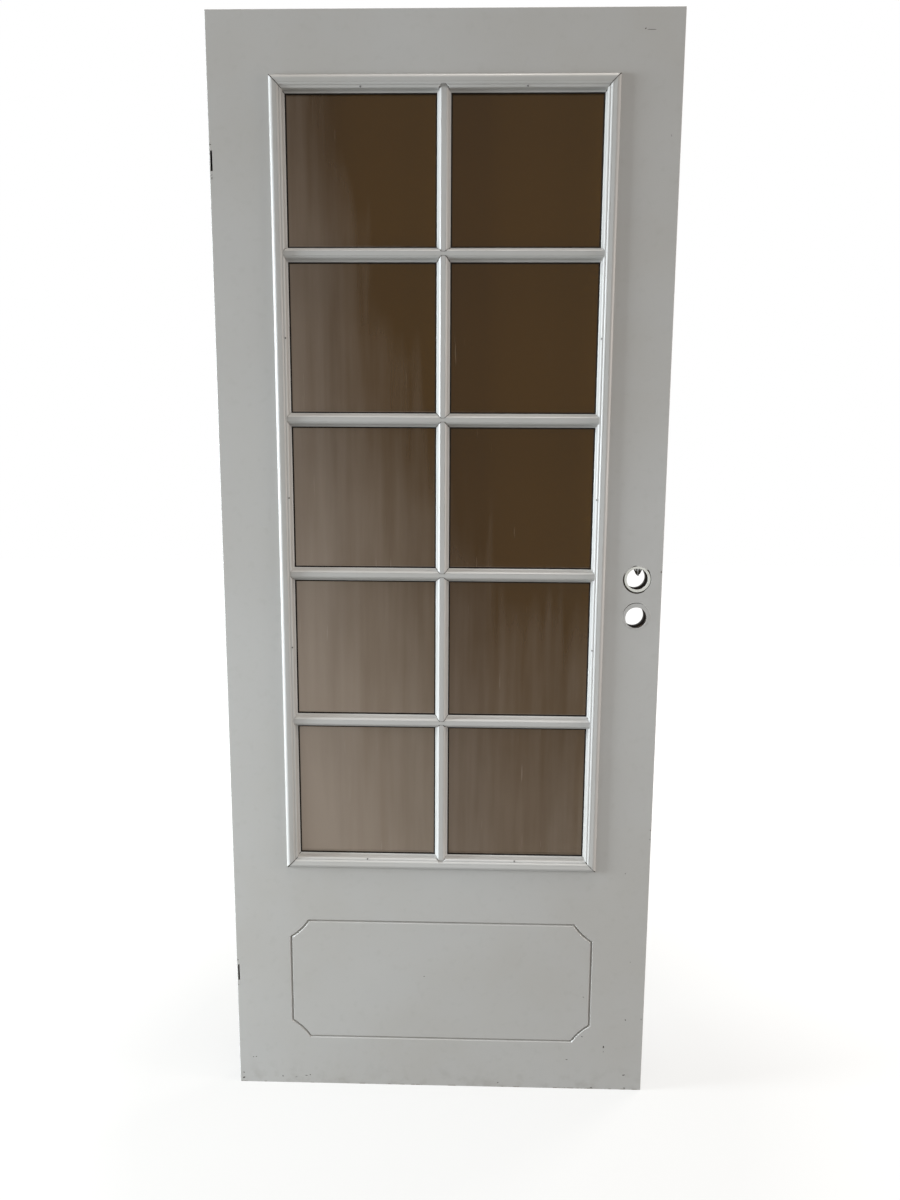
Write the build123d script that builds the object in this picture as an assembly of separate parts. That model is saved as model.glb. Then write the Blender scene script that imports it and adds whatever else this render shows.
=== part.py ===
from build123d import *
import math
import os

# A glazed interior door leaf: two painted board skins on a softwood frame, one sheet of
# tinted glass between moulded beads, and a lattice of moulded bars on both faces.
# Millimetres. X runs across the leaf from the hinge edge to the lock edge, Y through its
# thickness from the front face to the back face, and Z upwards. The origin is on the
# hinge edge, halfway up and halfway through the thickness.

# Leaf
leaf_width = 825.0
leaf_height = 2040.0
leaf_thickness = 40.0
skin_thickness = 4.0
arris = 0.8
stile_width = 24.0
top_rail_height = 35.0
bottom_rail_height = 70.0
lining_thickness = 20.0

# Glazed opening, set in from the edges of the leaf to the outside of its beads
glazing_left_margin = 108.0
glazing_right_margin = 106.5
glazing_top_margin = 105.0
glazing_bottom_margin = 475.0
bead_lip = 8.0
glass_thickness = 4.0
glass_edge_gap = 3.0
tape_thickness = 1.2
tape_show = 1.0

# Bead moulding, from its outer edge to the glass
nose_width = 7.2
nose_height = 6.2
nose_step = 1.0
band_width = 5.5
band_fall = 0.5
ovolo_width = 3.9
ovolo_fall = 2.9
ovolo_bulge = 0.7
quirk_width = 0.7
quirk_depth = 0.35
cove_width = 2.3
cove_height = 5.0
foot_height = 0.6

# Lattice bars, from the flat on their top to the glass
panes_across = 2
panes_up = 5
bar_sink = 0.5
bar_flat = 7.0
bar_ovolo_width = 4.2
bar_ovolo_fall = 7.0
bar_ovolo_bulge = 0.8
bar_cove_width = 3.8
top_bar_lift = 4.0
notch_depth = 5.5
mullion_notch_depth = 8.2

# Grooved panel below the glass, set in from the edges of the leaf and from the glazing
panel_left_margin = 112.5
panel_right_margin = 109.5
panel_bottom_margin = 106.5
panel_glazing_gap = 114.5
groove_width = 5.4
groove_depth = 3.1
groove_tip = 0.4
scoop_cut = 35.5
scoop_radius = 115.0

# Lock
backset = 46.0
handle_height = 1058.0
lock_spacing = 70.0
bore_radius = 20.0
key_bore_drop = 3.5
ring_radius = 24.3
ring_seat_radius = 26.6
lock_block_height = 320.0
lock_case_depth = 75.0
lock_case_height = 165.0
lock_case_thickness = 16.0
forend_height = 235.0
forend_width = 22.0
forend_depth = 2.5
forend_screw_spacing = 218.0
forend_screw_radius = 1.6
forend_screw_depth = 20.0

# Slots that take the hinges, cut in from the front face close to the hinge edge
hinge_inset = 245.0
hinge_slot_height = 34.0
hinge_slot_width = 3.5
hinge_slot_setback = 2.0
hinge_slot_depth = 28.0

# Places that follow from the sizes
leaf_bottom = -leaf_height / 2
leaf_top = leaf_height / 2
front = -leaf_thickness / 2
core_front = front + skin_thickness
glazing_width = leaf_width - glazing_left_margin - glazing_right_margin
glazing_middle = glazing_left_margin + glazing_width / 2
glazing_height = leaf_height - glazing_top_margin - glazing_bottom_margin
panel_width = leaf_width - panel_left_margin - panel_right_margin
panel_middle = panel_left_margin + panel_width / 2
panel_height = glazing_bottom_margin - panel_bottom_margin - panel_glazing_gap
bead_width = nose_width + band_width + 2 * ovolo_width + 2 * quirk_width + cove_width
bead_base = (leaf_thickness - glass_thickness) / 2 - tape_thickness
foot_top = bead_base - foot_height
bar_half = bar_flat / 2 + quirk_width + bar_ovolo_width + bar_cove_width
notch_tip = bar_flat / 2 + quirk_width
outer_left = glazing_left_margin
outer_right = leaf_width - glazing_right_margin
outer_bottom = leaf_bottom + glazing_bottom_margin
outer_top = leaf_top - glazing_top_margin
sight_left = outer_left + bead_width
sight_right = outer_right - bead_width
sight_bottom = outer_bottom + bead_width
sight_top = outer_top - bead_width
aperture_width = glazing_width - 2 * bead_lip
aperture_height = glazing_height - 2 * bead_lip
aperture_middle = (outer_bottom + outer_top) / 2
pane_width = (sight_right - sight_left - (panes_across - 1) * 2 * bar_half) / panes_across
pane_height = (sight_top - sight_bottom - (panes_up - 1) * 2 * bar_half) / panes_up
mullion_places = [
    sight_left + i * (pane_width + 2 * bar_half) - bar_half for i in range(1, panes_across)
]
even_places = [
    sight_bottom + i * (pane_height + 2 * bar_half) - bar_half for i in range(1, panes_up)
]
bar_places = even_places[:-1] + [z + top_bar_lift for z in even_places[-1:]]
lock_x = leaf_width - backset
handle_z = leaf_bottom + handle_height
key_z = handle_z - lock_spacing
key_bore_z = key_z - key_bore_drop
lock_middle = (handle_z + key_z) / 2
hinge_places = [leaf_bottom + hinge_inset, leaf_top - hinge_inset]
reach = 4 * leaf_thickness


def block(x0, x1, y0, y1, z0, z1):
    """A plain block between two corners."""
    middle = ((x0 + x1) / 2, (y0 + y1) / 2, (z0 + z1) / 2)
    return Pos(*middle) * Box(x1 - x0, y1 - y0, z1 - z0)


def timber(x0, x1, z0, z1):
    """A frame timber that fills the space between the skins."""
    return block(x0, x1, core_front, -core_front, z0, z1)


def outline_face(curves):
    """A flat face inside a closed row of lines and arcs."""
    return make_face(Wire([edge for curve in curves for edge in curve.edges()]))


def upright_prism(corners):
    """A prism through the whole thickness over an outline of (x, z) corners."""
    outline = Plane.XZ * make_face(Polyline([(x, z) for x, z in corners], close=True))
    return extrude(outline, amount=reach, both=True)


def round_hole(x, z, radius):
    """A cylinder through the whole thickness."""
    return Pos(x, 0, z) * Rot(90, 0, 0) * Cylinder(radius, reach)


def to_back(piece):
    """The same piece on the back face."""
    return mirror(piece, about=Plane.XZ)


# Mouldings

def bead_section():
    """The bead's outline as (distance in from its outer edge, depth below the face)."""
    u1 = nose_width
    u2 = u1 + band_width
    u3 = u2 + quirk_width
    u4 = u3 + ovolo_width
    u5 = u4 + quirk_width
    u6 = u5 + ovolo_width
    band_end = band_fall - nose_height
    first_end = band_end + ovolo_fall
    second_end = first_end + ovolo_fall
    curves = [
        Line((0, 0), (0, -nose_step)),
        TangentArc((u1, -nose_height), (0, -nose_step), tangent=(-1, 0)),
        Polyline(
            (u1, -nose_height), (u2, band_end), ((u2 + u3) / 2, band_end + quirk_depth), (u3, band_end)
        ),
        ThreePointArc(
            (u3, band_end),
            ((u3 + u4) / 2 + ovolo_bulge / 2, (band_end + first_end) / 2 - ovolo_bulge),
            (u4, first_end),
        ),
        Polyline((u4, first_end), ((u4 + u5) / 2, first_end + quirk_depth), (u5, first_end)),
        ThreePointArc(
            (u5, first_end),
            ((u5 + u6) / 2 + ovolo_bulge / 2, (first_end + second_end) / 2 - ovolo_bulge),
            (u6, second_end),
        ),
        Line((u6, second_end), (u6, foot_top - cove_height)),
        TangentArc((u6, foot_top - cove_height), (bead_width, foot_top), tangent=(0, 1)),
        Polyline(
            (bead_width, foot_top), (bead_width, bead_base), (bead_lip, bead_base), (bead_lip, 0), (0, 0)
        ),
    ]
    return outline_face(curves)


def bar_half_outline(side):
    """One side of a lattice bar's outline: quirk, ovolo, and a cove that spreads to its foot."""
    v1 = bar_flat / 2
    v2 = v1 + quirk_width
    v3 = v2 + bar_ovolo_width
    top = bar_sink
    shoulder = top + bar_ovolo_fall
    return [
        Polyline((side * v1, top), (side * (v1 + v2) / 2, top + quirk_depth), (side * v2, top)),
        ThreePointArc(
            (side * v2, top),
            (side * ((v2 + v3) / 2 + bar_ovolo_bulge), (top + shoulder) / 2 - bar_ovolo_bulge),
            (side * v3, shoulder),
        ),
        TangentArc((side * v3, shoulder), (side * bar_half, foot_top), tangent=(0, 1)),
        Line((side * bar_half, foot_top), (side * bar_half, bead_base)),
    ]


def bar_section():
    """The lattice bar's outline as (distance from its middle, depth below the face)."""
    flat = Line((-bar_flat / 2, bar_sink), (bar_flat / 2, bar_sink))
    foot = Line((-bar_half, bead_base), (bar_half, bead_base))
    return outline_face([flat, foot] + bar_half_outline(1) + bar_half_outline(-1))


def moulding(section, start, inward, length):
    """A section run from a start point on the face, with its own x axis pointing inward."""
    run = Vector(inward).cross(Vector(0, 1, 0))
    plane = Plane(origin=start, x_dir=inward, z_dir=run)
    return extrude(plane * section, amount=length, dir=run)


# Frame under the skins

def hinge_slot(z):
    """The narrow slot for the leaf of one hinge, open on the front face."""
    return block(
        hinge_slot_setback, hinge_slot_setback + hinge_slot_width,
        front - reach, front + hinge_slot_depth,
        z - hinge_slot_height / 2, z + hinge_slot_height / 2,
    )


def hinge_stile():
    stile = timber(0, stile_width, leaf_bottom, leaf_top)
    for z in hinge_places:
        stile -= hinge_slot(z)
    return stile


def lock_case_pocket():
    """The slot that a mortise lock slides into from the lock edge."""
    return block(
        leaf_width - lock_case_depth, leaf_width + reach,
        -lock_case_thickness / 2, lock_case_thickness / 2,
        lock_middle - lock_case_height / 2, lock_middle + lock_case_height / 2,
    )


def lock_stile():
    stile = timber(leaf_width - stile_width, leaf_width, leaf_bottom, leaf_top)
    stile -= lock_case_pocket()
    stile -= block(
        leaf_width - forend_depth, leaf_width + reach, -forend_width / 2, forend_width / 2,
        lock_middle - forend_height / 2, lock_middle + forend_height / 2,
    )
    for side in (-1, 1):
        place = Pos(
            leaf_width - forend_depth - forend_screw_depth / 2, 0,
            lock_middle + side * forend_screw_spacing / 2,
        )
        stile -= place * Rot(0, 90, 0) * Cylinder(forend_screw_radius, forend_screw_depth)
    return stile


def lock_block():
    """The solid timber beside the glazed opening that the lock is let into."""
    body = timber(
        glazing_middle + aperture_width / 2 + lining_thickness, leaf_width - stile_width,
        lock_middle - lock_block_height / 2, lock_middle + lock_block_height / 2,
    )
    body -= lock_case_pocket()
    for z in (handle_z, key_bore_z):
        body -= round_hole(lock_x, z, bore_radius)
    return body


def linings():
    """The four timbers round the glazed opening, with the head and sill running past the sides."""
    inner_left = glazing_middle - aperture_width / 2
    inner_right = glazing_middle + aperture_width / 2
    bottom = aperture_middle - aperture_height / 2
    top = aperture_middle + aperture_height / 2
    return {
        "lining_left": timber(inner_left - lining_thickness, inner_left, bottom, top),
        "lining_right": timber(inner_right, inner_right + lining_thickness, bottom, top),
        "lining_head": timber(stile_width, leaf_width - stile_width, top, top + lining_thickness),
        "lining_sill": timber(
            stile_width, leaf_width - stile_width, bottom - lining_thickness, bottom
        ),
    }


# Skins

def panel_outline(spread, depth):
    """The scooped rectangle, spread outwards by a distance, at a depth below the face.

    Each corner is an arc about a centre outside the panel, so a spread shortens its radius.
    """
    half_x = panel_width / 2
    half_z = panel_height / 2
    out = (math.sqrt(scoop_radius**2 - scoop_cut**2 / 2) - scoop_cut / math.sqrt(2)) / math.sqrt(2)
    radius = scoop_radius - spread
    start = out - math.sqrt(radius**2 - (out - spread) ** 2)
    middle = out - radius / math.sqrt(2)
    curves = []
    ends = []
    for right, up in ((1, 1), (-1, 1), (-1, -1), (1, -1)):
        on_side = (right * (half_x + spread), up * (half_z + start))
        on_level = (right * (half_x + start), up * (half_z + spread))
        scoop = (right * (half_x + middle), up * (half_z + middle))
        first, last = (on_side, on_level) if right * up > 0 else (on_level, on_side)
        curves.append(ThreePointArc(first, scoop, last))
        ends.append((first, last))
    for here, after in zip(ends, ends[1:] + ends[:1]):
        curves.append(Line(here[1], after[0]))
    middle_z = leaf_bottom + panel_bottom_margin + panel_height / 2
    place = Plane(origin=(panel_middle, front + depth, middle_z), x_dir=(1, 0, 0), z_dir=(0, -1, 0))
    return place * outline_face(curves)


def panel_groove():
    """The routed groove: what lies between a panel tapering in and a panel tapering out."""
    outer = loft(
        [panel_outline(groove_width / 2, 0), panel_outline(groove_tip / 2, groove_depth)], ruled=True
    )
    inner = loft(
        [panel_outline(-groove_width / 2, 0), panel_outline(-groove_tip / 2, groove_depth)], ruled=True
    )
    return outer - inner


def plain_skin():
    """The front board with its opening, ring seats and panel groove."""
    skin = block(0, leaf_width, front, core_front, leaf_bottom, leaf_top)
    skin = chamfer(skin.faces().sort_by(Axis.Y)[0].edges(), arris)
    skin -= block(
        glazing_middle - aperture_width / 2, glazing_middle + aperture_width / 2, -reach, reach,
        aperture_middle - aperture_height / 2, aperture_middle + aperture_height / 2,
    )
    for z in (handle_z, key_z):
        skin -= round_hole(lock_x, z, ring_seat_radius)
    return skin - panel_groove()


def front_skin(skin):
    """The front board also has the slots for the hinges."""
    for z in hinge_places:
        skin -= hinge_slot(z)
    return skin


def lock_ring(z, bore_z):
    """The flat ring let into the front board at z, round a bore that may lie off its middle."""
    ring = round_hole(lock_x, z, ring_radius) - round_hole(lock_x, bore_z, bore_radius)
    return ring & block(0, leaf_width, front, core_front, leaf_bottom, leaf_top)


# Glazing

def glass_sheet():
    half_width = aperture_width / 2 - glass_edge_gap
    half_height = aperture_height / 2 - glass_edge_gap
    half_glass = glass_thickness / 2
    return block(
        glazing_middle - half_width, glazing_middle + half_width, -half_glass, half_glass,
        aperture_middle - half_height, aperture_middle + half_height,
    )


def clear_spans(low, high, middles):
    """The stretches between two sight edges that the bars at the given middles leave clear."""
    starts = [low] + [middle + bar_half for middle in middles]
    ends = [middle - bar_half for middle in middles] + [high]
    return list(zip(starts, ends))


def glazing_tape():
    """The dark tape between the glass and the mouldings, which shows as a fine line."""
    half_width = aperture_width / 2 - glass_edge_gap
    half_height = aperture_height / 2 - glass_edge_gap
    tape_y = front + bead_base
    tape = block(
        glazing_middle - half_width, glazing_middle + half_width, tape_y, tape_y + tape_thickness,
        aperture_middle - half_height, aperture_middle + half_height,
    )
    for x0, x1 in clear_spans(sight_left, sight_right, mullion_places):
        for z0, z1 in clear_spans(sight_bottom, sight_top, bar_places):
            tape -= block(
                x0 + tape_show, x1 - tape_show, -reach, reach, z0 + tape_show, z1 - tape_show
            )
    return tape


def pointed_end(x, z, along_x, along_z, depth):
    """Where a bar's tapered end is let into a bead to a given depth."""
    base = bar_half
    tip = notch_tip
    across_x = along_z
    across_z = along_x
    return upright_prism([
        (x - along_x * base + across_x * base, z - along_z * base + across_z * base),
        (x + across_x * base, z + across_z * base),
        (x + along_x * depth + across_x * tip, z + along_z * depth + across_z * tip),
        (x + along_x * depth - across_x * tip, z + along_z * depth - across_z * tip),
        (x - across_x * base, z - across_z * base),
        (x - along_x * base - across_x * base, z - along_z * base - across_z * base),
    ])


def bead_notches():
    """Every notch in the beads, one for each end of a bar."""
    notches = []
    for z in bar_places:
        notches.append(pointed_end(sight_left, z, -1, 0, notch_depth))
        notches.append(pointed_end(sight_right, z, 1, 0, notch_depth))
    for x in mullion_places:
        notches.append(pointed_end(x, sight_bottom, 0, -1, mullion_notch_depth))
        notches.append(pointed_end(x, sight_top, 0, 1, mullion_notch_depth))
    return notches


def bead(start, inward, length, corners):
    """One mitred bead: the section run along its side, trimmed to its mitres and notched."""
    piece = moulding(bead_section(), start, inward, length) & upright_prism(corners)
    for notch in bead_notches():
        piece -= notch
    return piece


def beads():
    outer = {
        "bottom_left": (outer_left, outer_bottom),
        "top_left": (outer_left, outer_top),
        "top_right": (outer_right, outer_top),
        "bottom_right": (outer_right, outer_bottom),
    }
    inner = {
        "bottom_left": (sight_left, sight_bottom),
        "top_left": (sight_left, sight_top),
        "top_right": (sight_right, sight_top),
        "bottom_right": (sight_right, sight_bottom),
    }
    sides = {
        "left": ("bottom_left", "top_left", (1, 0, 0), glazing_height),
        "top": ("top_left", "top_right", (0, 0, -1), glazing_width),
        "right": ("top_right", "bottom_right", (-1, 0, 0), glazing_height),
        "bottom": ("bottom_right", "bottom_left", (0, 0, 1), glazing_width),
    }
    made = {}
    for side, (first, last, inward, length) in sides.items():
        start = (outer[first][0], front, outer[first][1])
        corners = [outer[first], outer[last], inner[last], inner[first]]
        made["bead_" + side] = bead(start, inward, length, corners)
    return made


def crossing_mouth(x, z, up):
    """The mitred mouth in a bar that takes the end of an upright beside it."""
    flat = bar_flat / 2
    wide = bar_half + 1
    return upright_prism([
        (x - flat, z + up * flat), (x + flat, z + up * flat),
        (x + wide, z + up * wide), (x - wide, z + up * wide),
    ])


def lattice_bar(z):
    """One bar across the whole opening, with pointed ends and a mouth at each crossing."""
    length = sight_right - sight_left + 2 * notch_depth
    start = (sight_right + notch_depth, front, z)
    bar = moulding(bar_section(), start, (0, 0, 1), length)
    tip = notch_tip
    left_tip = sight_left - notch_depth
    right_tip = sight_right + notch_depth
    bar &= upright_prism([
        (left_tip, z - tip), (sight_left, z - bar_half), (sight_right, z - bar_half),
        (right_tip, z - tip), (right_tip, z + tip), (sight_right, z + bar_half),
        (sight_left, z + bar_half), (left_tip, z + tip),
    ])
    for x in mullion_places:
        bar -= crossing_mouth(x, z, 1)
        bar -= crossing_mouth(x, z, -1)
    return bar


def upright_length(x, low, high):
    """One upright, each of its ends given as (height, half width there, length of its taper)."""
    z0, low_tip, low_cut = low
    z1, high_tip, high_cut = high
    piece = moulding(bar_section(), (x, front, z0), (1, 0, 0), z1 - z0)
    return piece & upright_prism([
        (x - low_tip, z0), (x + low_tip, z0), (x + bar_half, z0 + low_cut),
        (x + bar_half, z1 - high_cut), (x + high_tip, z1), (x - high_tip, z1),
        (x - bar_half, z1 - high_cut), (x - bar_half, z0 + low_cut),
    ])


def mullion(x):
    """The uprights of one mullion, from the bottom bead to the top bead, mitred at each bar."""
    flat = bar_flat / 2
    mitre = bar_half - flat
    lows = [(sight_bottom - mullion_notch_depth, notch_tip, mullion_notch_depth)]
    highs = []
    for z in bar_places:
        highs.append((z - flat, flat, mitre))
        lows.append((z + flat, flat, mitre))
    highs.append((sight_top + mullion_notch_depth, notch_tip, mullion_notch_depth))
    return [upright_length(x, low, high) for low, high in zip(lows, highs)]


def build():
    nodes = {
        "hinge_stile": hinge_stile(),
        "lock_stile": lock_stile(),
        "lock_block": lock_block(),
        "top_rail": timber(
            stile_width, leaf_width - stile_width, leaf_top - top_rail_height, leaf_top
        ),
        "bottom_rail": timber(
            stile_width, leaf_width - stile_width, leaf_bottom, leaf_bottom + bottom_rail_height
        ),
        "glass_sheet": glass_sheet(),
    }
    nodes.update(linings())
    skin = plain_skin()
    nodes["back_skin"] = to_back(skin)
    nodes["front_skin"] = front_skin(skin)
    one_side = {"glazing_tape": glazing_tape()}
    one_side.update(beads())
    for number, z in enumerate(bar_places, start=1):
        one_side[f"bar_{number}"] = lattice_bar(z)
    uprights = []
    for x in mullion_places:
        uprights += mullion(x)
    one_side["mullion"] = Compound(uprights)
    one_side["handle_ring"] = lock_ring(handle_z, handle_z)
    one_side["key_ring"] = lock_ring(key_z, key_bore_z)
    for name, piece in one_side.items():
        nodes["front_" + name] = piece
        nodes["back_" + name] = to_back(piece)
    return nodes


os.makedirs("parts", exist_ok=True)
for name, piece in build().items():
    export_step(piece, f"parts/{name}.step")
    print(name, round(sum(solid.volume for solid in piece.solids())))
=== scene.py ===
# %% [markdown]
# # A glazed interior door leaf
#
# The object is a painted door leaf that stands by itself: two boards on a softwood frame, one
# sheet of bronze glass, and moulded beads and bars on both faces. The flat and moulded parts
# come from the CAD frame and only get finishes here. What CAD can't say well is made here: the
# slightly uneven glass, the nails, the joint lines between painted mouldings, the chips and
# scratches, and the paint and filler that have crept round the lock rings.
#
# Everything is in metres, in the frame's own axes: x runs across the leaf from the hinge edge,
# y through its thickness from the front face to the back face, and z upwards.

# %% Load the frame
import math

import bmesh
import bpy
import numpy as np
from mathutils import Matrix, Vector


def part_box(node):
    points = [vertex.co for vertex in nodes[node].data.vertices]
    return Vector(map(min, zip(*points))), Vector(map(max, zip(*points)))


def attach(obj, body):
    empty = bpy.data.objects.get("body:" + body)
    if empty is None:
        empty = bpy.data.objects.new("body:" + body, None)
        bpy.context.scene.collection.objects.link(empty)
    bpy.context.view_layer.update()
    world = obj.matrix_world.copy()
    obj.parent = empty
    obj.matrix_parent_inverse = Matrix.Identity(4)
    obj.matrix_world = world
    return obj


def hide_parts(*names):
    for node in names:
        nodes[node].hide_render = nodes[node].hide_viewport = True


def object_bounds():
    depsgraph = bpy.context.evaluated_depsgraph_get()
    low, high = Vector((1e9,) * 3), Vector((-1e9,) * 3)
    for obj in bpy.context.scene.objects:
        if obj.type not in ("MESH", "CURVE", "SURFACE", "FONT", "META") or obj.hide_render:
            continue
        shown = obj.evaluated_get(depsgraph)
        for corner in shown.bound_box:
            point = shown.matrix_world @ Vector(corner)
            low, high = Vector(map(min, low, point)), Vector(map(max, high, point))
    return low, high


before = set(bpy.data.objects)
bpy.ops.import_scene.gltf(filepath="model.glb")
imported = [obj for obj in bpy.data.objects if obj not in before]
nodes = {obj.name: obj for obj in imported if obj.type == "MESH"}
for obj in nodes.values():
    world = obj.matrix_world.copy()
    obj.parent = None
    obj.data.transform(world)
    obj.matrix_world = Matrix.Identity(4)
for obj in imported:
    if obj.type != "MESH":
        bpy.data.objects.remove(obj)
cad_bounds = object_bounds()
millimetre = 0.001
print("frame nodes:", len(nodes), "CAD box:", [tuple(round(v, 4) for v in corner) for corner in cad_bounds])

# %% [markdown]
# ## Where things are
#
# The places of the new pieces are read from the boxes of the CAD nodes that carry them, so they
# stay right when a size changes in the CAD source. Only the outline of the two mouldings and a
# few sizes of holes and slots are written out again, because a box can't give them.

# %% Places from the frame
leaf_low, leaf_high = cad_bounds
leaf_width = leaf_high[0] - leaf_low[0]
half_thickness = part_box("back_skin")[1][1]
floor_height = leaf_low[2]
glass_low, glass_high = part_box("glass_sheet")
opening_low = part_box("front_bead_left")[0]
opening_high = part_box("front_bead_right")[1]
bead_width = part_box("front_bead_left")[1][0] - opening_low[0]
bar_levels = [
    (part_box(f"front_bar_{i}")[0][2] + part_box(f"front_bar_{i}")[1][2]) / 2 for i in range(1, 5)
]
bar_half = (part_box("front_bar_1")[1][2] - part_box("front_bar_1")[0][2]) / 2
mullion_low, mullion_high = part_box("front_mullion")
mullion_middle = (mullion_low[0] + mullion_high[0]) / 2
handle_low, handle_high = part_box("front_handle_ring")
key_low, key_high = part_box("front_key_ring")
lock_x = (handle_low[0] + handle_high[0]) / 2
handle_level = (handle_low[2] + handle_high[2]) / 2
key_level = (key_low[2] + key_high[2]) / 2
key_bore_drop = 0.0035
key_bore_level = key_level - key_bore_drop
ring_radius = (handle_high[0] - handle_low[0]) / 2
seat_gap = 0.0023
ring_seat_radius = ring_radius + seat_gap
bore_radius = 0.020
hinge_inset = 0.245
hinge_levels = (leaf_high[2] - hinge_inset, leaf_low[2] + hinge_inset)
slot_near, slot_far, slot_half = 0.0018, 0.0058, 0.0172
print("bead width:", round(bead_width, 4), "bar half width:", round(bar_half, 4))
print("bar levels:", [round(level, 4) for level in bar_levels])


# %% [markdown]
# ## Shapes from whole arrays
#
# Every new piece is a surface on a grid of points: a profile carried along a path, or a function
# of two parameters. The points are worked out as whole numpy arrays, and one function turns
# grids into a closed mesh. Closed solids, however thin, keep their faces pointing outwards and
# export well, so even a joint line is a very low closed ridge and not a bare strip.

# %% From grids to a piece
def grid_quads(rows, columns, start, round_rows, round_columns):
    """Corner numbers of the quads of a grid whose points are stored row by row.

    Quad (i, j) joins points (i, j), (i, j + 1), (i + 1, j + 1) and (i + 1, j). A round direction
    joins its last line of points to its first.
    """
    i = np.arange(rows if round_rows else rows - 1)[:, None]
    j = np.arange(columns if round_columns else columns - 1)[None, :]
    after_i = (i + 1) % rows
    after_j = (j + 1) % columns
    quads = np.stack(
        [i * columns + j, i * columns + after_j, after_i * columns + after_j, after_i * columns + j],
        axis=-1,
    )
    return quads.reshape(-1, 4) + start


def make_piece(name, grids, material, replaced=(), values=None, smooth=True):
    """One object on the root body from several grids, each (points, round_rows, round_columns, capped).

    A capped grid is a tube: its first and last rows are closed by a face. values is a list of
    one array per grid that becomes the point attribute "mark".
    """
    corners = []
    faces = []
    start = 0
    for points, round_rows, round_columns, capped in grids:
        rows, columns = points.shape[:2]
        corners.append(points.reshape(-1, 3))
        faces += grid_quads(rows, columns, start, round_rows, round_columns).tolist()
        if capped:
            faces.append(list(range(start, start + columns)))
            faces.append(list(range(start + (rows - 1) * columns, start + rows * columns)))
        start += rows * columns
    mesh = bpy.data.meshes.new(name)
    mesh.from_pydata(np.concatenate(corners).tolist(), [], faces)
    if values is not None:
        mark = mesh.attributes.new("mark", "FLOAT", "POINT")
        mark.data.foreach_set("value", np.concatenate([v.ravel() for v in values]).astype(np.float32))
    shaped = bmesh.new()
    shaped.from_mesh(mesh)
    bmesh.ops.remove_doubles(shaped, verts=shaped.verts, dist=1e-7)
    bmesh.ops.recalc_face_normals(shaped, faces=shaped.faces)
    shaped.to_mesh(mesh)
    shaped.free()
    mesh.polygons.foreach_set("use_smooth", [smooth] * len(mesh.polygons))
    mesh.materials.append(material)
    made = bpy.data.objects.new(name, mesh)
    bpy.context.scene.collection.objects.link(made)
    if replaced:
        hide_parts(*replaced)
    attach(made, "root")
    print(f"{name}: {len(mesh.vertices)} points, {len(mesh.polygons)} faces")


def ridge(line, across, half_width, top, foot):
    """A low closed ridge along a line of points on a surface whose outside is towards -y.

    Its cross-section has four corners: plus and minus half_width along across at foot metres
    under the surface, and 0.7 of that half width at top metres above it. half_width and top may
    be one number or one for each point of the line.
    """
    half = np.broadcast_to(np.asarray(half_width, float), (len(line),))[:, None]
    rise = np.broadcast_to(np.asarray(top, float), (len(line),))[:, None]
    outward = np.array([0.0, -1.0, 0.0])
    sides = [(-1.0, -foot), (-0.7, rise), (0.7, rise), (1.0, -foot)]
    return np.stack([line + across * half * side + outward * height for side, height in sides], axis=1)


def on_back(points):
    """The same points on the back face: y changes its sign."""
    return points * np.array([1.0, -1.0, 1.0])


# %% [markdown]
# ## Finishes
#
# The leaf was white once and is now a soft grey, satin where the roller went and streaky where a brush
# followed the mouldings. One flat colour would look like plastic, so the paint's colour drifts slowly over
# the leaf and grows a little paler towards the foot, partly as painted light, the grooves are painted darker
# as shade, and a fine stipple breaks the gloss. All patterns read Object coordinates, which are the frame's
# own metres, so they stay on the leaf from every side.

# %% Helpers for shader nodes
def add_node(tree, kind, inputs=None, **settings):
    """Add a shader node. Each input is a plain value or another node's output socket."""
    made = tree.nodes.new(kind)
    for key, value in settings.items():
        setattr(made, key, value)
    for key, value in (inputs or {}).items():
        if isinstance(value, bpy.types.NodeSocket):
            tree.links.new(value, made.inputs[key])
        else:
            made.inputs[key].default_value = value
    return made


def calc(tree, operation, first, second=0.0, third=0.0):
    """The result of one Math node."""
    made = add_node(tree, "ShaderNodeMath", {0: first, 1: second, 2: third}, operation=operation)
    return made.outputs[0]


def ramp(tree, value, low, high, start=0.0, end=1.0):
    """A value mapped straight from low..high to start..end and held at the ends."""
    made = add_node(
        tree, "ShaderNodeMapRange",
        {"Value": value, "From Min": low, "From Max": high, "To Min": start, "To Max": end},
        clamp=True,
    )
    return made.outputs[0]


def mix_colour(tree, factor, first, second, kind="MIX"):
    """Two colours mixed, or multiplied, by a factor."""
    made = add_node(tree, "ShaderNodeMix", data_type="RGBA", blend_type=kind)
    for index, value in ((0, factor), (6, first), (7, second)):
        if isinstance(value, bpy.types.NodeSocket):
            tree.links.new(value, made.inputs[index])
        elif index == 0:
            made.inputs[index].default_value = value
        else:
            made.inputs[index].default_value = (*value, 1.0)
    return made.outputs[2]


def noise(tree, place, scale, detail=3.0, stretch=(1.0, 1.0, 1.0)):
    """Noise in 0..1 round 0.5, with scale features to the metre, squeezed along each axis by stretch."""
    mapped = add_node(tree, "ShaderNodeMapping", {"Vector": place, "Scale": stretch})
    made = add_node(
        tree, "ShaderNodeTexNoise", {"Vector": mapped.outputs[0], "Scale": scale, "Detail": detail}
    )
    return made.outputs[0]


def new_finish(name, **constants):
    """A material with its shader, its Object coordinates and their three parts."""
    material = bpy.data.materials.new(name)
    material.use_nodes = True
    tree = material.node_tree
    shader = tree.nodes["Principled BSDF"]
    for key, value in constants.items():
        shader.inputs[key.replace("_", " ")].default_value = value
    place = add_node(tree, "ShaderNodeTexCoord").outputs["Object"]
    split = add_node(tree, "ShaderNodeSeparateXYZ", {"Vector": place})
    return material, tree, shader, place, split.outputs


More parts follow.
